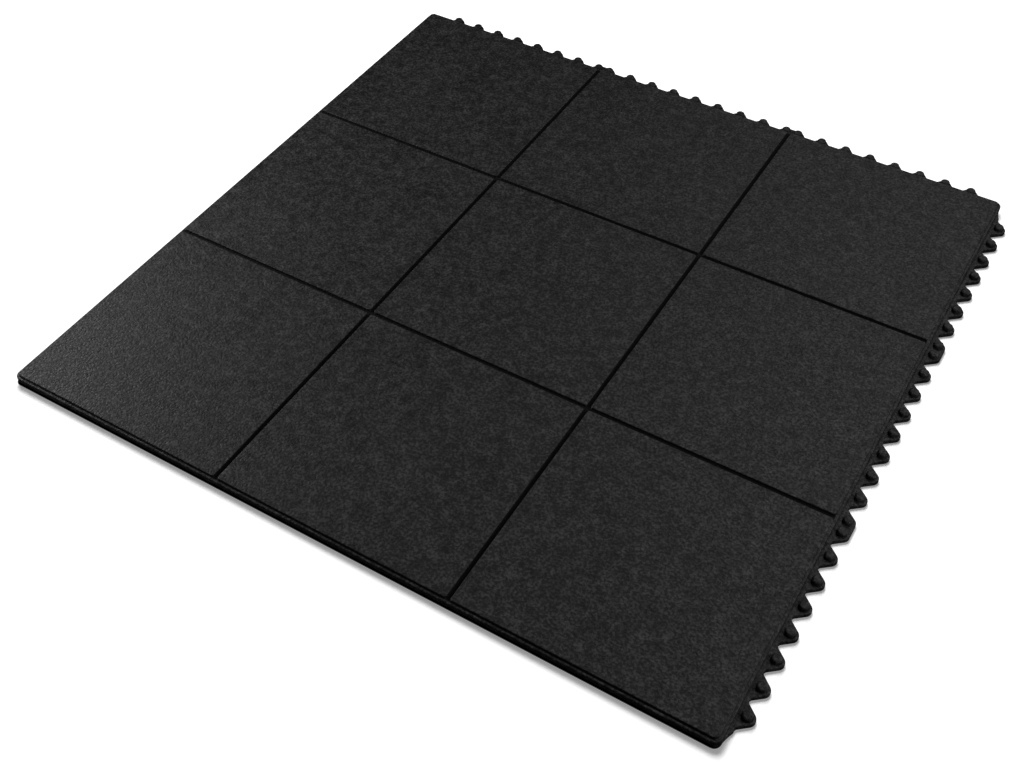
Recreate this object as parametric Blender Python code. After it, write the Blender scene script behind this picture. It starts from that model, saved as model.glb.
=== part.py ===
# Interlocking rubber floor tile, moulded in one piece.
# Frame: metres, +Z up, origin on the floor under the middle of the square body.
# +X and +Y are the two sides with tabs, -X and -Y the two sides with sockets underneath.
import math

import bmesh
import bpy

# Square body
BODY_SIDE = 0.910
THICKNESS = 0.016
BODY_CORNER_RADIUS = 0.009

# Nine raised pads in three rows of three
PADS_ACROSS = 3
GROOVE_DEPTH = 0.003
GROOVE_WIDTH = 0.0045
LEDGE_WIDTH = 0.003
PAD_CORNER_RADIUS = 0.0030
PAD_OUTER_RADIUS = BODY_CORNER_RADIUS - LEDGE_WIDTH

# Tabs: low scalloped flange with a stud standing on every scallop
MODULE = BODY_SIDE / PADS_ACROSS
STUD_PITCH = MODULE / 8.5
STUD_FROM_GROOVE = STUD_PITCH / 4
STUDS_PER_MODULE = 9
FLANGE_THICKNESS = 0.0060
FLANGE_REACH = 0.0046
FLANGE_END_GAP = 0.0090
FLANGE_END_TAPER = 0.0155
FLANGE_END_CURVE = 1.4
TAB_NOSE_RADIUS = 0.0079
TAB_NOSE_OUT = 0.0109
TAB_HALF_BASE = 0.0156
STUD_OUT = 0.0098
STUD_BASE_RADIUS = 0.0066
STUD_TOP_RADIUS = 0.0057
STUD_TOP_HEIGHT = 0.0108
STUD_TOP_BEVEL = 0.0013

# Room under the two plain sides for the next tile's tabs, closed by a wall at the tab sides
REBATE_SIDE_CLEARANCE = 0.0009
REBATE_ROOF_CLEARANCE = 0.0004
REBATE_END_WALL = 0.0060
SOCKET_RADIUS = 0.0071
SOCKET_ROOF_CLEARANCE = 0.0003

# Facets
CORNER_STEPS = 5
TAPER_STEPS = 5
NOSE_STEPS = 9
STUD_SIDES = 16
SOCKET_SIDES = 14
OVERLAP = 0.001

HALF = BODY_SIDE / 2
PAD_BASE = THICKNESS - GROOVE_DEPTH
TAB_REACH = TAB_NOSE_OUT + TAB_NOSE_RADIUS


def clear_scene():
    for thing in list(bpy.data.objects):
        bpy.data.objects.remove(thing, do_unlink=True)


def make_collection(name):
    made = bpy.data.collections.new(name)
    bpy.context.scene.collection.children.link(made)
    return made


def tidy_mesh(thing):
    """Merges the rims a curve or a cone leaves apart and turns every face outwards."""
    work = bmesh.new()
    work.from_mesh(thing.data)
    bmesh.ops.remove_doubles(work, verts=work.verts, dist=1e-7)
    bmesh.ops.recalc_face_normals(work, faces=work.faces)
    work.to_mesh(thing.data)
    work.free()


def prism(name, outline, low, high, home):
    """A flat closed outline, filled and extruded from low to high."""
    curve = bpy.data.curves.new(name, "CURVE")
    curve.dimensions = "2D"
    curve.fill_mode = "BOTH"
    curve.extrude = (high - low) / 2
    spline = curve.splines.new("POLY")
    spline.points.add(len(outline) - 1)
    for point, (x, y) in zip(spline.points, outline):
        point.co = (x, y, 0.0, 1.0)
    spline.use_cyclic_u = True
    guide = bpy.data.objects.new(name + "_outline", curve)
    home.objects.link(guide)
    bpy.context.view_layer.update()
    graph = bpy.context.evaluated_depsgraph_get()
    mesh = bpy.data.meshes.new_from_object(guide.evaluated_get(graph))
    bpy.data.objects.remove(guide, do_unlink=True)
    for vertex in mesh.vertices:
        vertex.co.z += (low + high) / 2
    made = bpy.data.objects.new(name, mesh)
    home.objects.link(made)
    tidy_mesh(made)
    return made


def top_rim(vertices, height):
    """The edges that join the highest of these points."""
    rim = []
    for vertex in vertices:
        for edge in vertex.link_edges:
            at_top = all(abs(end.co.z - height) < 1e-6 for end in edge.verts)
            if at_top and edge not in rim:
                rim.append(edge)
    return rim


def cones(name, places, low, high, low_radius, high_radius, sides, home, top_bevel=0.0):
    """One object holding a round stud or socket cutter at every place."""
    work = bmesh.new()
    for x, y in places:
        ring = bmesh.ops.create_cone(
            work,
            cap_ends=True,
            cap_tris=False,
            segments=sides,
            radius1=low_radius,
            radius2=high_radius,
            depth=high - low,
        )
        bmesh.ops.translate(work, verts=ring["verts"], vec=(x, y, (low + high) / 2))
        if top_bevel:
            rim = top_rim(ring["verts"], high)
            bmesh.ops.bevel(work, geom=rim, offset=top_bevel, segments=1, affect="EDGES")
    mesh = bpy.data.meshes.new(name)
    work.to_mesh(mesh)
    work.free()
    made = bpy.data.objects.new(name, mesh)
    home.objects.link(made)
    return made


def joined(name, parts):
    """Several separate pieces made one object."""
    bpy.ops.object.select_all(action="DESELECT")
    for part in parts:
        part.select_set(True)
    bpy.context.view_layer.objects.active = parts[0]
    bpy.ops.object.join()
    parts[0].name = name
    return parts[0]


def arc(centre, radius, start, end, steps):
    """Points on an arc, angles in degrees."""
    points = []
    for step in range(steps + 1):
        angle = math.radians(start + (end - start) * step / steps)
        points.append(
            (
                centre[0] + radius * math.cos(angle),
                centre[1] + radius * math.sin(angle),
            )
        )
    return points


def rounded_rectangle(low, high, radius_at):
    """Outline of a rectangle with round corners, anticlockwise, each with its own radius."""
    points = []
    for number, (right, top) in enumerate(((1, 1), (0, 1), (0, 0), (1, 0))):
        radius = radius_at(right, top)
        x = high[0] - radius if right else low[0] + radius
        y = high[1] - radius if top else low[1] + radius
        points += arc((x, y), radius, 90 * number, 90 * number + 90, CORNER_STEPS)
    return points


def stud_groups():
    """Distances along a side, grouped by tab: one stud a tab, two where a groove ends."""
    places = []
    for module in range(PADS_ACROSS):
        start = -HALF + module * MODULE + STUD_FROM_GROOVE
        for place in range(STUDS_PER_MODULE):
            at_first_corner = module == 0 and place == 0
            at_last_corner = module == PADS_ACROSS - 1 and place == STUDS_PER_MODULE - 1
            if not (at_first_corner or at_last_corner):
                places.append(start + place * STUD_PITCH)
    groups = [[places[0]]]
    for place in places[1:]:
        if place - groups[-1][-1] < 0.75 * STUD_PITCH:
            groups[-1].append(place)
        else:
            groups.append([place])
    return groups


def tangent_angle():
    """Angle on the nose, in degrees, where the straight flank meets it."""
    across = TAB_HALF_BASE
    down = FLANGE_REACH - TAB_NOSE_OUT
    to_base = math.degrees(math.atan2(down, across))
    away = math.hypot(across, down)
    return to_base + math.degrees(math.acos(TAB_NOSE_RADIUS / away))


def flange_end(end):
    """The curved run-out at an end of the flange, from the body outwards, as (along, out) pairs."""
    points = []
    for step in range(TAPER_STEPS + 1):
        part = step / TAPER_STEPS
        points.append((end - FLANGE_END_TAPER * part, FLANGE_REACH * part**FLANGE_END_CURVE))
    return points


def scalloped_edge():
    """Outline of the flange and its tabs as (along, out) pairs, from one end to the other."""
    end = HALF - FLANGE_END_GAP
    first = tangent_angle()
    taper = flange_end(end)
    points = [(-end, -2 * OVERLAP)]
    points += [(-along, out) for along, out in taper]
    for group in stud_groups():
        points.append((group[0] - TAB_HALF_BASE - 0.0012, FLANGE_REACH))
        points.append((group[0] - TAB_HALF_BASE + 0.0009, FLANGE_REACH + 0.0011))
        if len(group) == 1:
            nose = arc((group[0], TAB_NOSE_OUT), TAB_NOSE_RADIUS, 180 - first, first, NOSE_STEPS)
        else:
            half = NOSE_STEPS // 2
            nose = arc((group[0], TAB_NOSE_OUT), TAB_NOSE_RADIUS, 180 - first, 90, half)
            nose += arc((group[-1], TAB_NOSE_OUT), TAB_NOSE_RADIUS, 90, first, half)
        points += nose
        points.append((group[-1] + TAB_HALF_BASE - 0.0009, FLANGE_REACH + 0.0011))
        points.append((group[-1] + TAB_HALF_BASE + 0.0012, FLANGE_REACH))
    points += taper[::-1]
    points.append((end, -2 * OVERLAP))
    return points


def on_x_side(pairs):
    """(along, out) pairs placed on the +X side."""
    return [(HALF + out, along) for along, out in pairs]


def on_y_side(pairs):
    """(along, out) pairs placed on the +Y side."""
    return [(along, HALF + out) for along, out in pairs]


def all_studs():
    return [place for group in stud_groups() for place in group]


def make_body(home):
    corner = (-HALF, -HALF), (HALF, HALF)
    outline = rounded_rectangle(*corner, lambda right, top: BODY_CORNER_RADIUS)
    return prism("rubber_tile", outline, 0.0, PAD_BASE, home)


def pad_radius(column, row):
    """How round each corner of one pad is: more at the corners of the tile."""
    last = PADS_ACROSS - 1

    def radius_at(right, top):
        at_tile_corner = column == right * last and row == top * last
        return PAD_OUTER_RADIUS if at_tile_corner else PAD_CORNER_RADIUS

    return radius_at


def make_pads(home):
    pads = []
    for row in range(PADS_ACROSS):
        for column in range(PADS_ACROSS):
            low, high = [], []
            for index in (column, row):
                start = LEDGE_WIDTH if index == 0 else GROOVE_WIDTH / 2
                stop = LEDGE_WIDTH if index == PADS_ACROSS - 1 else GROOVE_WIDTH / 2
                low.append(-HALF + index * MODULE + start)
                high.append(-HALF + (index + 1) * MODULE - stop)
            outline = rounded_rectangle(low, high, pad_radius(column, row))
            name = f"pad_{row}_{column}"
            pads.append(prism(name, outline, PAD_BASE - OVERLAP, THICKNESS, home))
    return joined("pads", pads)


def make_tabs(home):
    edge = scalloped_edge()
    sides = (("tabs_x", on_x_side(edge)), ("tabs_y", on_y_side(edge)))
    parts = [prism(name, outline, 0.0, FLANGE_THICKNESS, home) for name, outline in sides]
    return joined("tabs", parts)


def make_studs(home):
    pairs = [(along, STUD_OUT) for along in all_studs()]
    places = on_x_side(pairs) + on_y_side(pairs)
    low = FLANGE_THICKNESS - OVERLAP
    return cones(
        "studs",
        places,
        low,
        STUD_TOP_HEIGHT,
        STUD_BASE_RADIUS,
        STUD_TOP_RADIUS,
        STUD_SIDES,
        home,
        STUD_TOP_BEVEL,
    )


def make_rebate(home):
    """The room under the two plain sides: one angled strip, open to the side and to the floor."""
    inner = -HALF + TAB_REACH + REBATE_SIDE_CLEARANCE
    outside = -HALF - 2 * OVERLAP
    end = HALF - REBATE_END_WALL
    outline = [
        (outside, outside),
        (end, outside),
        (end, inner),
        (inner, inner),
        (inner, end),
        (outside, end),
    ]
    return prism("rebate", outline, -OVERLAP, FLANGE_THICKNESS + REBATE_ROOF_CLEARANCE, home)


def make_sockets(home):
    centre = -HALF + STUD_OUT
    places = [(centre, along) for along in all_studs()]
    places += [(along, centre) for along in all_studs()]
    roof = STUD_TOP_HEIGHT + SOCKET_ROOF_CLEARANCE
    low = -OVERLAP
    return cones(
        "sockets", places, low, roof, SOCKET_RADIUS, SOCKET_RADIUS, SOCKET_SIDES, home
    )


def combine(body, other, operation):
    step = body.modifiers.new(f"{operation.lower()}_{other.name}", "BOOLEAN")
    step.operation = operation
    step.solver = "EXACT"
    step.object = other


def hide_helper(thing, home):
    for collection in list(thing.users_collection):
        collection.objects.unlink(thing)
    home.objects.link(thing)
    thing.hide_render = True
    thing.display_type = "WIRE"


def black_rubber():
    material = bpy.data.materials.new("rubber")
    material.use_nodes = True
    shader = material.node_tree.nodes["Principled BSDF"]
    shader.inputs["Base Color"].default_value = (0.022, 0.022, 0.023, 1.0)
    shader.inputs["Roughness"].default_value = 0.62
    return material


def build():
    clear_scene()
    home = make_collection("rubber_floor_tile")
    helpers = make_collection("cutters")
    body = make_body(home)
    body.data.materials.append(black_rubber())
    for added in (make_pads(home), make_tabs(home), make_studs(home)):
        combine(body, added, "UNION")
        hide_helper(added, helpers)
    for cutter in (make_rebate(home), make_sockets(home)):
        combine(body, cutter, "DIFFERENCE")
        hide_helper(cutter, helpers)


build()
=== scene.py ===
import math
from contextlib import contextmanager

import bmesh
import bpy
from mathutils import Matrix, Vector


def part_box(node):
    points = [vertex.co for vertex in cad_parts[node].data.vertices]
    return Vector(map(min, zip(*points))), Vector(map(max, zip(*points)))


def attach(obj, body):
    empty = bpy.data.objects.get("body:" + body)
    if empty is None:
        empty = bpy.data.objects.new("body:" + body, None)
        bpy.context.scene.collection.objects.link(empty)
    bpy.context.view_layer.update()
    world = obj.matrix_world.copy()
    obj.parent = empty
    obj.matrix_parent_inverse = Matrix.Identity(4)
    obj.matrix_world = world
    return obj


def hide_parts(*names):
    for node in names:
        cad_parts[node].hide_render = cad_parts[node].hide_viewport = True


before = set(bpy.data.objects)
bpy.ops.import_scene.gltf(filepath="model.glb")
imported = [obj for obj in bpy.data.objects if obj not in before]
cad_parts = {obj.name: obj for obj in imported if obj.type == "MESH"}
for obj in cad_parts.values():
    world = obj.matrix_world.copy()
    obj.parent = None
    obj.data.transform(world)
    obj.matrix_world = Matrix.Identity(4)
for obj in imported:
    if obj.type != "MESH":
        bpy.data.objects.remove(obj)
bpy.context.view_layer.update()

# Square body and its nine pads, as in the part
BODY_SIDE = 0.910
HALF = BODY_SIDE / 2
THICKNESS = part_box("rubber_tile")[1].z
BODY_CORNER_RADIUS = 0.009
PADS_ACROSS = 3
MODULE = BODY_SIDE / PADS_ACROSS
GROOVE_DEPTH = 0.003
GROOVE_WIDTH = 0.0045
LEDGE_WIDTH = 0.003
PAD_CORNER_RADIUS = 0.003
PAD_OUTER_RADIUS = BODY_CORNER_RADIUS - LEDGE_WIDTH
PAD_BASE = THICKNESS - GROOVE_DEPTH

# Tabs, studs and the room under the two plain sides, as in the part
STUD_PITCH = MODULE / 8.5
STUD_FROM_GROOVE = STUD_PITCH / 4
STUDS_PER_MODULE = 9
ONE_TAB_WITHIN = 0.75 * STUD_PITCH
FLANGE_THICKNESS = 0.0060
FLANGE_REACH = 0.0046
FLANGE_END_GAP = 0.0090
FLANGE_END_TAPER = 0.0155
FLANGE_END_CURVE = 1.4
FLANGE_ROOT = -0.002
TAB_NOSE_RADIUS = 0.0079
TAB_NOSE_OUT = 0.0109
TAB_HALF_BASE = 0.0156
TAB_REACH = TAB_NOSE_OUT + TAB_NOSE_RADIUS
STUD_OUT = 0.0098
STUD_BASE_RADIUS = 0.0066
STUD_TOP_RADIUS = 0.0057
STUD_TOP_HEIGHT = 0.0108
REBATE_SIDE_CLEARANCE = 0.0009
REBATE_ROOF_CLEARANCE = 0.0004
REBATE_ROOF = FLANGE_THICKNESS + REBATE_ROOF_CLEARANCE
REBATE_END_WALL = 0.0060
SOCKET_RADIUS = 0.0071
SOCKET_ROOF_CLEARANCE = 0.0003
SOCKET_ROOF = STUD_TOP_HEIGHT + SOCKET_ROOF_CLEARANCE

# Soft edges that the mould leaves: radius and steps
PAD_RIM = (0.0009, 4)
PAD_FOOT = (0.0004, 2)
BODY_RIM = (0.0014, 3)
TAB_RIM = (0.0020, 5)
TAB_FOOT = (0.0004, 2)
STUD_RIM = (0.0020, 6)
SOCKET_RIM = (0.0008, 2)
PAD_DRAFT = 0.0004

# Where a tab's flank bends into the flange: along the side on both sides of the root, and outwards
VALLEY_BEFORE = 0.0013
VALLEY_AFTER = 0.0009
VALLEY_OUT = 0.0011

# Fineness of the round shapes
CORNER_STEPS = 7
NOSE_STEPS = 6
END_STEPS = 7
STUD_SIDES = 36
SOCKET_SIDES = 28
SHARP_ANGLE = math.radians(40)

# Distances and slopes that find points, edges and faces by their place
OVERLAP = 0.001
START_SIZE = 0.001
MERGE = 1e-6
CLOSE = 1e-5
LEVEL = 0.9
UPRIGHT = 0.1

# Camera at the photograph's angle
CAMERA_PLACE = (0.56334, -1.03595, 1.13171)
CAMERA_RIGHT = (0.85517225, 0.51831694, -0.00528941)
CAMERA_DOWN = (0.38182270, -0.63680584, -0.66984307)
CAMERA_FORWARD = (-0.35055934, 0.57081159, -0.74248386)
CAMERA_REACH = (0.01, 60.0)
FOCAL_LENGTH = 45.1665
LENS_SHIFT = 22 / 1024
SENSOR_WIDTH = 36.0

# Lamps behind the tile and round two of its corners: name, angle from +X, angle above the floor, watts
BACK_LAMPS = (("far_right", 30, 27, 8.5), ("far", 80, 50, 14.5))
BACK_DISTANCE = 2.6
BACK_SIZE = 0.9
CORNER_LAMPS = (("left", 170, 20, 9.2), ("near_left", 220, 20, 2.0), ("far_left", 150, 35, 3.1))
NEAR_LAMPS = (("near_right", 15, 42, 3.2),)
CORNER_DISTANCE = 1.1
CORNER_SIZE = 0.45
MIDDLE = (0.0, 0.0, 0.0)
LEFT_CORNER = (-0.45, -0.45, 0.0)
NEAR_CORNER = (0.45, -0.45, 0.0)

# Faint even light from all round, and the white that the camera sees past the floor
ROOM_LIGHT = 0.02
ROOM_WHITE = 1.0

# Lamp and glow of the floor, which give its light grey shadows. The glow grows to full white
# between two distances from the middle.
FLOOR_LAMPS = (("floor", 128, 58, 520.0),)
FLOOR_LAMP_DISTANCE = 6.0
FLOOR_LAMP_SIZE = 3.2
FLOOR_RADIUS = 9.0
FLOOR_HEIGHT = -0.0002
FLOOR_SIDES = 96
FLOOR_ROUGHNESS = 0.9
FLOOR_WHITE = 0.86
FLOOR_GLOW = 0.29
GLOW_FROM = 0.9
GLOW_FULL = 2.2

# Painted shade on the floor, a black patch under the tile: how far it stays inside the edge, its soft
# border on each side, and how far it reaches past the -X side as a painted contact shadow
UNDER_EDGE = 0.0003
UNDER_SOFT = 0.0005
SHADOW_PAST_LEFT = 0.0035

# Noise in the rubber: size of its lumps, detail and roughness
CLOUDS = (0.085, 4.0, 0.6)
MOTTLE = (0.012, 3.0, 0.6)
GRAIN = (0.0030, 1.5, 0.6)
SECOND_GRAIN = (0.0024, 1.5, 0.6)
SECOND_GRAIN_ASIDE = (0.37, 0.19, 0.0)
PEBBLE_SIZE = 0.0030
PEBBLE_SMOOTHNESS = 0.4

# Tone of the rubber
SHADE_LOW = 0.002
SHADE_GAIN = 0.030
SPECKLE_BASE = 0.3
SPECKLE_GAIN = 1.0
SPECKLE_LOW = 0.34
SPECKLE_HIGH = 0.68
SPECKLE_POWER = 1.2
SPECKLE_LEAST = 0.2
MOTTLE_TONE = 3.4
CLOUD_TONE = 0.4

# Gloss and relief of the rubber
SHINE = 0.3
ROUGH = 0.62
ROUGH_GRAIN = 0.8
ROUGH_MOTTLE = 0.25
ROUGH_CLOUDS = 0.2
ROUGH_GROOVES = 0.4
RELIEF_DEPTH = 0.0006
RELIEF_PEBBLES = 0.5
RELIEF_GRAIN = 0.8
RELIEF_MOTTLE = 0.5

# Painted shade in the grooves and in the crease at the pads' foot, and a painted highlight on the
# ledge, all between the groove floor and the top of the pads. Pairs say where a mask starts and
# where it is full.
BELOW_PAD_TOP = (0.0001, 0.0007)
BELOW_BASE = (0.0020, 0.0012)
GROOVE_PAINTED_SHADE = 0.97
GROOVE_SOFT = 0.0004
GROOVE_END_SOFT = 0.001
CREASE_PAINTED_SHADE = 0.8
CREASE_INSIDE_FOOT = (0.0009, 0.0005)
LEDGE_PAINTED_HIGHLIGHT = 1.1
LEDGE_PAST_FOOT = (0.0006, 0.0010)


def deselect():
    if bpy.context.mode != "OBJECT":
        bpy.ops.object.mode_set(mode="OBJECT")
    bpy.ops.object.select_all(action="DESELECT")


def settle(name):
    """Names the piece just added and puts its place into its mesh."""
    piece = bpy.context.object
    piece.name = name
    piece.data.name = name
    bpy.ops.object.transform_apply(location=True, rotation=True, scale=True)
    return piece


@contextmanager
def editing(piece):
    """Edit mode on one piece, with nothing picked at first."""
    deselect()
    piece.select_set(True)
    bpy.context.view_layer.objects.active = piece
    bpy.ops.object.mode_set(mode="EDIT")
    bpy.ops.mesh.select_all(action="DESELECT")
    yield
    bpy.ops.object.mode_set(mode="OBJECT")


def pick(piece, kind, wanted):
    """Picks only those points, edges or faces that pass the test."""
    kinds = ("verts", "edges", "faces")
    bpy.context.tool_settings.mesh_select_mode = [kind == name for name in kinds]
    bpy.ops.mesh.select_all(action="DESELECT")
    shape = bmesh.from_edit_mesh(piece.data)
    for item in getattr(shape, kind):
        if wanted(item):
            item.select_set(True)
    shape.select_flush_mode()
    bmesh.update_edit_mesh(piece.data)


def pick_all():
    bpy.ops.mesh.select_all(action="SELECT")


def bevel(width, steps, **more):
    bpy.ops.mesh.bevel(offset=width, segments=steps, profile=0.5, **more)


def raise_region(height):
    """Extrudes what is picked straight up, or down where the height is below 0."""
    bpy.ops.mesh.extrude_region_move(TRANSFORM_OT_translate={"value": (0, 0, height)})


def add_plane(name, low, high, height):
    """A level rectangle between two corners."""
    middle = ((low[0] + high[0]) / 2, (low[1] + high[1]) / 2, height)
    deselect()
    bpy.ops.mesh.primitive_plane_add(size=1.0, location=middle)
    bpy.context.object.scale = (high[0] - low[0], high[1] - low[1], 1.0)
    return settle(name)


def at_height(edge, height):
    return all(abs(vertex.co.z - height) < CLOSE for vertex in edge.verts)


def level_meets_upright(edge):
    """True for an edge between a level face and an upright one."""
    slopes = sorted(abs(face.normal.z) for face in edge.link_faces)
    return len(slopes) == 2 and slopes[0] < UPRIGHT and slopes[1] > LEVEL


def copy_of(piece, name, along=0.0):
    """A copy with its own mesh, moved along X."""
    twin = piece.copy()
    twin.data = piece.data.copy()
    twin.name = name
    bpy.context.scene.collection.objects.link(twin)
    twin.data.transform(Matrix.Translation((along, 0.0, 0.0)))
    return twin


def join(pieces):
    deselect()
    for piece in pieces:
        piece.select_set(True)
    bpy.context.view_layer.objects.active = pieces[0]
    bpy.ops.object.join()
    return pieces[0]


def weld(piece):
    """Merges the points that meet and turns every face outwards."""
    with editing(piece):
        pick_all()
        bpy.ops.mesh.remove_doubles(threshold=MERGE)
        bpy.ops.mesh.normals_make_consistent(inside=False)


def combine(body, other, operation):
    """Joins the other shape to the body or cuts it away, then removes it."""
    deselect()
    bpy.context.view_layer.objects.active = body
    step = body.modifiers.new(operation.lower(), "BOOLEAN")
    step.operation = operation
    step.solver = "EXACT"
    step.object = other
    bpy.ops.object.modifier_apply(modifier=step.name)
    bpy.data.objects.remove(other, do_unlink=True)


# Body and pads


def module_sides(index):
    """How far a module's pad stays from its two borders, the lower one first."""
    lower = LEDGE_WIDTH if index == 0 else GROOVE_WIDTH / 2
    upper = LEDGE_WIDTH if index == PADS_ACROSS - 1 else GROOVE_WIDTH / 2
    return lower, upper


def at_tile_corner(point):
    """True for a point where two ledges meet."""
    return min(abs(point.x), abs(point.y)) > HALF - LEDGE_WIDTH - CLOSE


def at_base(face):
    return abs(face.calc_center_median().z - PAD_BASE) < CLOSE


def make_module(column, row):
    """One pad with the groove floor and ledge round it, as an open sheet."""
    x0, x1 = (-HALF + (column + place) * MODULE for place in (0, 1))
    y0, y1 = (-HALF + (row + place) * MODULE for place in (0, 1))
    left, right = module_sides(column)
    near, far = module_sides(row)
    low = Vector((x0 + left, y0 + near))
    high = Vector((x1 - right, y1 - far))
    middle = (low + high) / 2
    draft = [1 - 2 * PAD_DRAFT / side for side in (high - low)]
    sheet = add_plane(f"module_{column}_{row}", low, high, PAD_BASE)
    with editing(sheet):
        pick(sheet, "verts", lambda vertex: not at_tile_corner(vertex.co))
        bevel(PAD_CORNER_RADIUS, CORNER_STEPS, affect="VERTICES")
        if {column, row} <= {0, PADS_ACROSS - 1}:
            pick(sheet, "verts", lambda vertex: at_tile_corner(vertex.co))
            bevel(PAD_OUTER_RADIUS, CORNER_STEPS, affect="VERTICES")
        pick_all()
        raise_region(GROOVE_DEPTH)
        bpy.ops.transform.resize(value=(*draft, 1), center_override=(*middle, THICKNESS))
        pick(sheet, "faces", at_base)
        bpy.ops.mesh.delete(type="ONLY_FACE")
        pick(sheet, "edges", lambda edge: at_height(edge, PAD_BASE))
        bpy.ops.mesh.extrude_edges_move()
        spread_to_border(sheet, (x0, y0), (x1, y1), low, high)
    return sheet


def spread_to_border(sheet, module_low, module_high, pad_low, pad_high):
    """Moves the loop just extruded out to the module's border."""
    shape = bmesh.from_edit_mesh(sheet.data)
    for vertex in shape.verts:
        if not vertex.select:
            continue
        border = nearest_corner(vertex.co, module_low, module_high)
        edge = nearest_corner(vertex.co, pad_low, pad_high)
        if min(abs(border.x), abs(border.y)) > HALF - MERGE:
            vertex.co.xy = on_body_corner(vertex.co, border)
        else:
            for axis in (0, 1):
                if abs(vertex.co[axis] - edge[axis]) < PAD_CORNER_RADIUS + CLOSE:
                    vertex.co[axis] = border[axis]
    bmesh.update_edit_mesh(sheet.data)


def nearest_corner(point, low, high):
    """The corner of a rectangle that is nearest to a point."""
    sides = zip(point, low, high)
    return Vector([min(ends, key=lambda end: abs(value - end)) for value, *ends in sides])


def on_body_corner(point, corner):
    """A point of a pad's outline moved out to the tile's own round corner."""
    centre = Vector([math.copysign(HALF - BODY_CORNER_RADIUS, value) for value in corner])
    away = point.xy - centre
    return centre + away.normalized() * BODY_CORNER_RADIUS


def on_pad_outline(edge):
    """True for an edge along a pad's outline, not one that leads away from it."""
    return edge.is_manifold and any(abs(face.normal.z) < LEVEL for face in edge.link_faces)


def on_body_rim(edge):
    """True for an edge along the outer side of the ledge."""
    inner = HALF - BODY_CORNER_RADIUS
    outside = all(max(abs(vertex.co.x), abs(vertex.co.y)) > inner for vertex in edge.verts)
    has_length = edge.calc_length() > CLOSE
    return outside and has_length and at_height(edge, PAD_BASE) and level_meets_upright(edge)


def make_body():
    """The square body with its nine pads, closed underneath."""
    count = range(PADS_ACROSS)
    body = join([make_module(column, row) for row in count for column in count])
    body.name = "rubber_tile_looks"
    weld(body)
    with editing(body):
        pick(body, "edges", lambda edge: at_height(edge, THICKNESS) and on_pad_outline(edge))
        bevel(*PAD_RIM)
        pick(body, "edges", lambda edge: at_height(edge, PAD_BASE) and on_pad_outline(edge))
        bevel(*PAD_FOOT)
        pick(body, "edges", lambda edge: edge.is_boundary)
        bpy.ops.mesh.extrude_edges_move(TRANSFORM_OT_translate={"value": (0, 0, -PAD_BASE)})
        bpy.ops.mesh.edge_face_add()
    weld(body)
    with editing(body):
        pick(body, "edges", on_body_rim)
        bevel(*BODY_RIM)
    return body


# Tabs


def stud_groups():
    """Distances along a side, grouped by tab: one stud a tab, two where a groove ends."""
    places = []
    for module in range(PADS_ACROSS):
        start = -HALF + module * MODULE + STUD_FROM_GROOVE
        for place in range(STUDS_PER_MODULE):
            at_first_corner = module == 0 and place == 0
            at_last_corner = module == PADS_ACROSS - 1 and place == STUDS_PER_MODULE - 1
            if not (at_first_corner or at_last_corner):
                places.append(start + place * STUD_PITCH)
    groups = [[places[0]]]
    for place in places[1:]:
        if place - groups[-1][-1] < ONE_TAB_WITHIN:
            groups[-1].append(place)
        else:
            groups.append([place])
    return groups


def stud_places():
    return [place for group in stud_groups() for place in group]


def start_line(name, x, y):
    """A single point to draw a line from."""
    deselect()
    bpy.ops.mesh.primitive_plane_add(size=START_SIZE, location=(x, y, FLANGE_THICKNESS))
    line = settle(name)
    with editing(line):
        pick_all()
        bpy.ops.mesh.merge(type="CENTER")
    return line


def draw_to(points, start):
    """Extrudes the picked point from place to place."""
    here = start
    for x, y in points:
        step = (x - here[0], y - here[1], 0)
        bpy.ops.mesh.extrude_vertices_move(TRANSFORM_OT_translate={"value": step})
        here = (x, y)


def draw_arc(centre, turn):
    """Spins the picked point round a centre, clockwise seen from above."""
    bpy.ops.mesh.spin(
        steps=NOSE_STEPS, angle=turn, center=(*centre, FLANGE_THICKNESS), axis=(0, 0, 1)
    )


def flank_angle():
    """Angle on the nose where a tab's straight flank runs into it."""
    down = FLANGE_REACH - TAB_NOSE_OUT
    away = math.hypot(TAB_HALF_BASE, down)
    return math.atan2(down, TAB_HALF_BASE) + math.acos(TAB_NOSE_RADIUS / away)


def make_tab_rim(name, apart):
    """The free edge of one tab from valley to valley, for one stud or for two apart."""
    angle = flank_angle()
    turn = math.pi / 2 - angle
    reach = apart / 2
    root = reach + TAB_HALF_BASE
    valley = reach + STUD_PITCH / 2
    flank_out = (
        reach + TAB_NOSE_RADIUS * math.cos(angle),
        TAB_NOSE_OUT + TAB_NOSE_RADIUS * math.sin(angle),
    )
    into_flank = [
        (root + VALLEY_BEFORE, FLANGE_REACH),
        (root - VALLEY_AFTER, FLANGE_REACH + VALLEY_OUT),
    ]
    line = start_line(name, -valley, FLANGE_REACH)
    with editing(line):
        pick_all()
        left = [(-x, y) for x, y in [*into_flank, flank_out]]
        draw_to(left, (-valley, FLANGE_REACH))
        draw_arc((-reach, TAB_NOSE_OUT), turn)
        if apart:
            draw_to([(reach, TAB_REACH)], (-reach, TAB_REACH))
        draw_arc((reach, TAB_NOSE_OUT), turn)
        draw_to([*into_flank[::-1], (valley, FLANGE_REACH)], flank_out)
    return line


def make_end_rim(name, side):
    """The curved run-out of the flange at one end of a side."""
    end = HALF - FLANGE_END_GAP
    last = stud_places()[-1] + STUD_PITCH / 2
    points = []
    for step in range(1, END_STEPS + 1):
        part = step / END_STEPS
        points.append((side * (end - FLANGE_END_TAPER * part), FLANGE_REACH * part**FLANGE_END_CURVE))
    points.append((side * last, FLANGE_REACH))
    line = start_line(name, side * end, 0.0)
    with editing(line):
        pick_all()
        draw_to(points, (side * end, 0.0))
    return line


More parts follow.
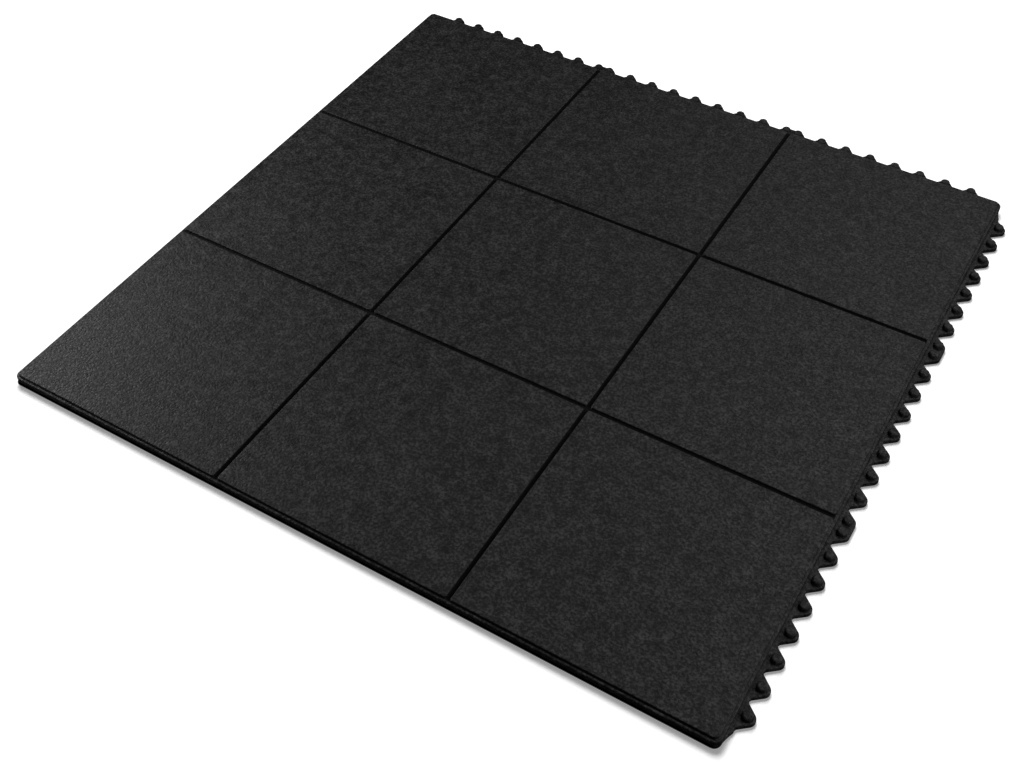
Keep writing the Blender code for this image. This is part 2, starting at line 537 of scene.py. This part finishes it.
def on_flange_rim(edge, height):
    """True for an edge along the free side of the flange at one height."""
    outside = any(vertex.co.y > CLOSE for vertex in edge.verts)
    return outside and at_height(edge, height) and level_meets_upright(edge)


def make_flange():
    """The scalloped flange of the +Y side, from copies of two kinds of tab."""
    single = make_tab_rim("single_tab", 0.0)
    double = make_tab_rim("double_tab", STUD_PITCH / 2)
    rims = [make_end_rim("end_a", -1), make_end_rim("end_b", 1)]
    for number, group in enumerate(stud_groups()):
        kind = single if len(group) == 1 else double
        rims.append(copy_of(kind, f"tab_{number}", sum(group) / len(group)))
    for kind in (single, double):
        bpy.data.objects.remove(kind, do_unlink=True)
    flange = join(rims)
    flange.name = "flange"
    with editing(flange):
        pick_all()
        bpy.ops.mesh.remove_doubles(threshold=MERGE)
        pick_all()
        bpy.ops.mesh.extrude_edges_move()
        bpy.ops.transform.resize(value=(1, 0, 1), center_override=(0, FLANGE_ROOT, 0))
        pick_all()
        raise_region(-FLANGE_THICKNESS)
    weld(flange)
    with editing(flange):
        pick(flange, "edges", lambda edge: on_flange_rim(edge, FLANGE_THICKNESS))
        bevel(*TAB_RIM)
        pick(flange, "edges", lambda edge: on_flange_rim(edge, 0.0))
        bevel(*TAB_FOOT)
    flange.data.transform(Matrix.Translation((0, HALF, 0)))
    return flange


def make_studs():
    """A round stud for every place along the +Y side, two on a double tab."""
    foot = FLANGE_THICKNESS - OVERLAP
    deselect()
    bpy.ops.mesh.primitive_cone_add(
        vertices=STUD_SIDES,
        radius1=STUD_BASE_RADIUS,
        radius2=STUD_TOP_RADIUS,
        depth=STUD_TOP_HEIGHT - foot,
        location=(0, HALF + STUD_OUT, (STUD_TOP_HEIGHT + foot) / 2),
    )
    stud = settle("stud")
    with editing(stud):
        pick(stud, "edges", lambda edge: at_height(edge, STUD_TOP_HEIGHT))
        bevel(*STUD_RIM)
    return row_of(stud, "studs")


def row_of(piece, name):
    """Copies of a piece at every stud's place along a side, joined. The piece itself goes."""
    row = [copy_of(piece, f"{name}_{number}", place) for number, place in enumerate(stud_places())]
    bpy.data.objects.remove(piece, do_unlink=True)
    row = join(row)
    row.name = name
    return row


def turned(piece, name):
    """A copy turned a quarter, from the +Y side to the +X side or from -Y to -X."""
    twin = copy_of(piece, name)
    twin.data.transform(Matrix.Rotation(-math.pi / 2, 4, "Z"))
    return twin


# Underside


def make_rebate():
    """The room under the two plain sides, as one angled strip to cut away."""
    inner = -HALF + TAB_REACH + REBATE_SIDE_CLEARANCE
    outside = -HALF - 2 * OVERLAP
    end = HALF - REBATE_END_WALL
    strip = add_plane("rebate", (outside, outside), (end, end), REBATE_ROOF)
    with editing(strip):
        pick_all()
        bpy.ops.mesh.bisect(plane_co=(inner, 0, 0), plane_no=(1, 0, 0))
        pick_all()
        bpy.ops.mesh.bisect(plane_co=(0, inner, 0), plane_no=(0, 1, 0))
        pick(strip, "faces", lambda face: min(face.calc_center_median().xy) > inner)
        bpy.ops.mesh.delete(type="FACE")
        pick_all()
        raise_region(-REBATE_ROOF - OVERLAP)
    weld(strip)
    return strip


def make_sockets():
    """The holes under the two plain sides that take the next tile's studs, one row a side."""
    deselect()
    bpy.ops.mesh.primitive_cylinder_add(
        vertices=SOCKET_SIDES,
        radius=SOCKET_RADIUS,
        depth=SOCKET_ROOF + OVERLAP,
        location=(0, -HALF + STUD_OUT, (SOCKET_ROOF - OVERLAP) / 2),
    )
    hole = settle("socket")
    with editing(hole):
        pick(hole, "edges", lambda edge: at_height(edge, SOCKET_ROOF))
        bevel(*SOCKET_RIM)
    row = row_of(hole, "sockets")
    return row, turned(row, "sockets_x")


def finish_shading(piece):
    """Smooth on the soft edges, flat on the flats."""
    deselect()
    piece.select_set(True)
    bpy.context.view_layer.objects.active = piece
    bpy.ops.object.shade_smooth_by_angle(angle=SHARP_ANGLE)
    step = piece.modifiers.new("even_normals", "WEIGHTED_NORMAL")
    step.keep_sharp = True
    step.weight = 100
    bpy.ops.object.modifier_apply(modifier=step.name)


def make_tile():
    """The whole tile. Both flanges join the body in one union, which leaves no doubled faces."""
    tile = make_body()
    flange = make_flange()
    combine(flange, make_studs(), "UNION")
    combine(tile, join([flange, turned(flange, "flange_x")]), "UNION")
    combine(tile, make_rebate(), "DIFFERENCE")
    for row in make_sockets():
        combine(tile, row, "DIFFERENCE")
    weld(tile)
    finish_shading(tile)
    return tile


# Materials


class Shade:
    """A shader value that takes part in plain arithmetic."""

    def __init__(self, tree, socket=None):
        self.tree = tree
        self.socket = socket

    def node(self, kind, settings=None, **inputs):
        """Adds any node: its settings first, then the values or links of its sockets."""
        made = self.tree.nodes.new(kind)
        for name, value in (settings or {}).items():
            setattr(made, name, value)
        for name, value in inputs.items():
            key = int(name[1:]) if name[1:].isdigit() else name.replace("_", " ")
            if isinstance(value, Shade):
                value.into(made, key)
            else:
                made.inputs[key].default_value = value
        return made

    def take(self, made, output=0):
        return Shade(self.tree, made.outputs[output])

    def into(self, made, name):
        """Links this value to a socket of a node."""
        self.tree.links.new(self.socket, made.inputs[name])

    def maths(self, operation, first, second=None):
        inputs = {"i0": first}
        if second is not None:
            inputs["i1"] = second
        return self.take(self.node("ShaderNodeMath", {"operation": operation}, **inputs))

    def __add__(self, other):
        return self.maths("ADD", self, other)

    def __sub__(self, other):
        return self.maths("SUBTRACT", self, other)

    def __mul__(self, other):
        return self.maths("MULTIPLY", self, other)

    def __pow__(self, other):
        return self.maths("POWER", self, other)

    def __radd__(self, other):
        return self.maths("ADD", other, self)

    def __rsub__(self, other):
        return self.maths("SUBTRACT", other, self)

    def __rmul__(self, other):
        return self.maths("MULTIPLY", other, self)

    def most(self, other):
        return self.maths("MAXIMUM", self, other)

    def size(self):
        return self.maths("ABSOLUTE", self)

    def ramp(self, low, high, to_low=0.0, to_high=1.0):
        """Smooth step from to_low at low to to_high at high."""
        made = self.node(
            "ShaderNodeMapRange",
            {"interpolation_type": "SMOOTHSTEP"},
            Value=self,
            From_Min=low,
            From_Max=high,
            To_Min=to_low,
            To_Max=to_high,
        )
        return self.take(made)

    def grey(self):
        """A colour of this value in all three channels."""
        return self.take(self.node("ShaderNodeCombineColor", Red=self, Green=self, Blue=self))

    def axes(self):
        """The three numbers of a place."""
        split = self.node("ShaderNodeSeparateXYZ", Vector=self)
        return [self.take(split, axis) for axis in "XYZ"]


def start_material(name):
    """A new material, its shader, and the place on the piece that its patterns follow."""
    material = bpy.data.materials.new(name)
    material.use_nodes = True
    root = Shade(material.node_tree)
    place = root.take(root.node("ShaderNodeTexCoord"), "Object")
    return material, material.node_tree.nodes["Principled BSDF"], place


def noise(place, size, detail, roughness):
    """Noise with lumps about this many metres across, from 0 to 1."""
    made = place.node(
        "ShaderNodeTexNoise", Vector=place, Scale=1.0 / size, Detail=detail, Roughness=roughness
    )
    return place.take(made)


def cells(place, size, smoothness):
    """Distance into soft-edged cells about this many metres across."""
    made = place.node(
        "ShaderNodeTexVoronoi",
        {"feature": "SMOOTH_F1"},
        Vector=place,
        Scale=1.0 / size,
        Smoothness=smoothness,
    )
    return place.take(made)


def swing(pattern, strength):
    """A pattern from 0 to 1 made to swing as much below 0 as above it."""
    return strength * (pattern - 0.5)


def beside_pads(z):
    """1 from the groove floor up to just under the top of the pads, and 0 above and below."""
    under_top = z.ramp(*(THICKNESS - depth for depth in BELOW_PAD_TOP))
    over_base = z.ramp(*(PAD_BASE - depth for depth in BELOW_BASE))
    return under_top * over_base


def in_grooves(place):
    """1 inside the four grooves and 0 on the pads, the ledge, the tabs and the underside."""
    x, y, z = place.axes()
    wall = GROOVE_WIDTH / 2 + PAD_DRAFT
    foot = HALF - LEDGE_WIDTH
    across = [(value.size() - MODULE / 2).size().ramp(wall + GROOVE_SOFT, wall) for value in (x, y)]
    inside = x.size().most(y.size()).ramp(foot, foot - GROOVE_END_SOFT)
    return across[0].most(across[1]) * beside_pads(z) * inside


def on_ledge(place):
    """Two masks for the ledge of the plain sides: the crease at the pads' foot, for painted shade, and
    the ledge itself, for a painted highlight.
    """
    x, y, z = place.axes()
    foot = HALF - LEDGE_WIDTH
    out = (0.0 - x).most(0.0 - y)
    beside = beside_pads(z)
    past_pad = out.ramp(*(foot - inside for inside in CREASE_INSIDE_FOOT))
    past_crease = out.ramp(*(foot + beyond for beyond in LEDGE_PAST_FOOT))
    crease = past_pad * (1 - past_crease) * beside
    return crease, past_crease * beside


def black_rubber():
    """Matt black moulded rubber: fine speckled grain, faint cloudy patches. Painted shade makes the
    grooves jet black and the crease at the pads' foot dark; a painted highlight makes the ledge pale.
    """
    material, shader, place = start_material("black_rubber")
    grooves = in_grooves(place)
    crease, ledge = on_ledge(place)

    clouds = noise(place, *CLOUDS)
    mottle = noise(place, *MOTTLE)
    grain = noise(place, *GRAIN)
    aside = place.take(place.node("ShaderNodeMapping", Vector=place, Location=SECOND_GRAIN_ASIDE))
    second = noise(aside, *SECOND_GRAIN)
    pebbles = cells(place, PEBBLE_SIZE, PEBBLE_SMOOTHNESS)

    speckle = SPECKLE_BASE + SPECKLE_GAIN * grain.ramp(SPECKLE_LOW, SPECKLE_HIGH) ** SPECKLE_POWER
    strength = (1.0 + swing(mottle, MOTTLE_TONE)).most(SPECKLE_LEAST)
    tone = speckle * strength + swing(clouds, CLOUD_TONE)
    # Painted shade: the grooves and the crease at the pads' foot are made darker, where light hardly
    # reaches
    darker = (1 - GROOVE_PAINTED_SHADE * grooves) * (1 - CREASE_PAINTED_SHADE * crease)
    # Painted highlight: the ledge of the plain sides is made paler
    shade = (SHADE_LOW + SHADE_GAIN * tone.most(0.0)) * darker * (1 + LEDGE_PAINTED_HIGHLIGHT * ledge)
    shade.grey().into(shader, "Base Color")

    rough = ROUGH + swing(second, ROUGH_GRAIN) + swing(mottle, ROUGH_MOTTLE)
    rough = rough + swing(clouds, ROUGH_CLOUDS) + ROUGH_GROOVES * grooves
    rough.into(shader, "Roughness")

    relief = RELIEF_PEBBLES * pebbles + RELIEF_GRAIN * (grain + second) + RELIEF_MOTTLE * mottle
    bump = place.node("ShaderNodeBump", Strength=1.0, Distance=RELIEF_DEPTH, Height=relief)
    place.take(bump).into(shader, "Normal")
    shader.inputs["Specular IOR Level"].default_value = SHINE
    return material


def pale_floor():
    """White floor with a little glow of its own that gives its shadows their light grey, and painted
    shade: black where the tile covers it and a little past its -X side.
    """
    material, shader, place = start_material("pale_floor")
    x, y = place.axes()[:2]
    centre = HALF - BODY_CORNER_RADIUS
    edge = BODY_CORNER_RADIUS - UNDER_EDGE
    past_x = (x - centre).most(0.0 - x - (centre + SHADOW_PAST_LEFT)).most(0.0)
    past_y = (y.size() - centre).most(0.0)
    past = (past_x * past_x + past_y * past_y) ** 0.5
    open_floor = past.ramp(edge - UNDER_SOFT, edge + UNDER_SOFT)
    away = (x * x + y * y) ** 0.5
    glow = open_floor * away.ramp(GLOW_FROM, GLOW_FULL, FLOOR_GLOW, 1.0)
    # Painted shade: base colour and glow drop to black under the tile and just past its -X side
    (FLOOR_WHITE * open_floor).grey().into(shader, "Base Color")
    glow.grey().into(shader, "Emission Color")
    shader.inputs["Roughness"].default_value = FLOOR_ROUGHNESS
    shader.inputs["Specular IOR Level"].default_value = 0.0
    shader.inputs["Emission Strength"].default_value = 1.0
    return material


# Stage


def make_floor():
    """A round floor that no rubber reflects."""
    deselect()
    bpy.ops.mesh.primitive_circle_add(
        vertices=FLOOR_SIDES, radius=FLOOR_RADIUS, fill_type="NGON", location=(0, 0, FLOOR_HEIGHT)
    )
    floor = settle("floor")
    floor.data.materials.append(pale_floor())
    floor.visible_diffuse = False
    floor.visible_glossy = False
    return floor


def place_round(centre, distance, azimuth, elevation):
    """A place round a point, by the angle from +X and the angle above the floor."""
    turn, rise = math.radians(azimuth), math.radians(elevation)
    away = Vector((math.cos(rise) * math.cos(turn), math.cos(rise) * math.sin(turn), math.sin(rise)))
    return Vector(centre) + distance * away


def soft_light(name, place, aim, size, power):
    """A square soft lamp that faces a point."""
    light = bpy.data.lights.new(name, "AREA")
    light.shape = "SQUARE"
    light.size = size
    light.energy = power
    lamp = bpy.data.objects.new(name, light)
    lamp.location = place
    lamp.rotation_euler = (Vector(aim) - Vector(place)).to_track_quat("-Z", "Y").to_euler()
    bpy.context.scene.collection.objects.link(lamp)
    return lamp


def light_one(lamp, lit):
    """Keeps a lamp's light to one object, which every other object still shades."""
    group = bpy.data.collections.new(lamp.name)
    group.objects.link(lit)
    lamp.light_linking.receiver_collection = group


def set_lamps(floor, tile):
    """Plain soft studio light from behind and round two corners, and a lamp of its own for the floor."""
    groups = (
        (BACK_LAMPS, MIDDLE, BACK_DISTANCE, BACK_SIZE, tile),
        (CORNER_LAMPS, LEFT_CORNER, CORNER_DISTANCE, CORNER_SIZE, tile),
        (NEAR_LAMPS, NEAR_CORNER, CORNER_DISTANCE, CORNER_SIZE, tile),
        (FLOOR_LAMPS, MIDDLE, FLOOR_LAMP_DISTANCE, FLOOR_LAMP_SIZE, floor),
    )
    for lamps, centre, distance, size, lit in groups:
        for name, azimuth, elevation, power in lamps:
            place = place_round(centre, distance, azimuth, elevation)
            light_one(soft_light(name, place, centre, size, power), lit)


def set_room():
    """A white room to look at, which gives hardly any light."""
    world = bpy.data.worlds.new("room")
    world.use_nodes = True
    bpy.context.scene.world = world
    root = Shade(world.node_tree)
    seen = root.take(root.node("ShaderNodeLightPath"), "Is Camera Ray")
    tone = ROOM_LIGHT + (ROOM_WHITE - ROOM_LIGHT) * seen
    tone.grey().into(world.node_tree.nodes["Background"], "Color")


def set_camera():
    """The photograph's viewpoint, found from the tile's own borders and grooves."""
    camera = bpy.data.cameras.new("camera")
    camera.sensor_width = SENSOR_WIDTH
    camera.lens = FOCAL_LENGTH
    camera.shift_x = LENS_SHIFT
    camera.clip_start, camera.clip_end = CAMERA_REACH
    seat = bpy.data.objects.new("camera", camera)
    right, down, forward = (Vector(axis) for axis in (CAMERA_RIGHT, CAMERA_DOWN, CAMERA_FORWARD))
    turn = Matrix((right, -down, -forward)).transposed()
    seat.matrix_world = Matrix.Translation(CAMERA_PLACE) @ turn.to_4x4()
    bpy.context.scene.collection.objects.link(seat)
    bpy.context.scene.camera = seat
    bpy.context.scene.view_settings.view_transform = "Standard"


set_camera()
tile = make_tile()
set_room()
set_lamps(make_floor(), tile)
tile.data.materials.clear()
tile.data.materials.append(black_rubber())
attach(tile, "root")
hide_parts("rubber_tile")
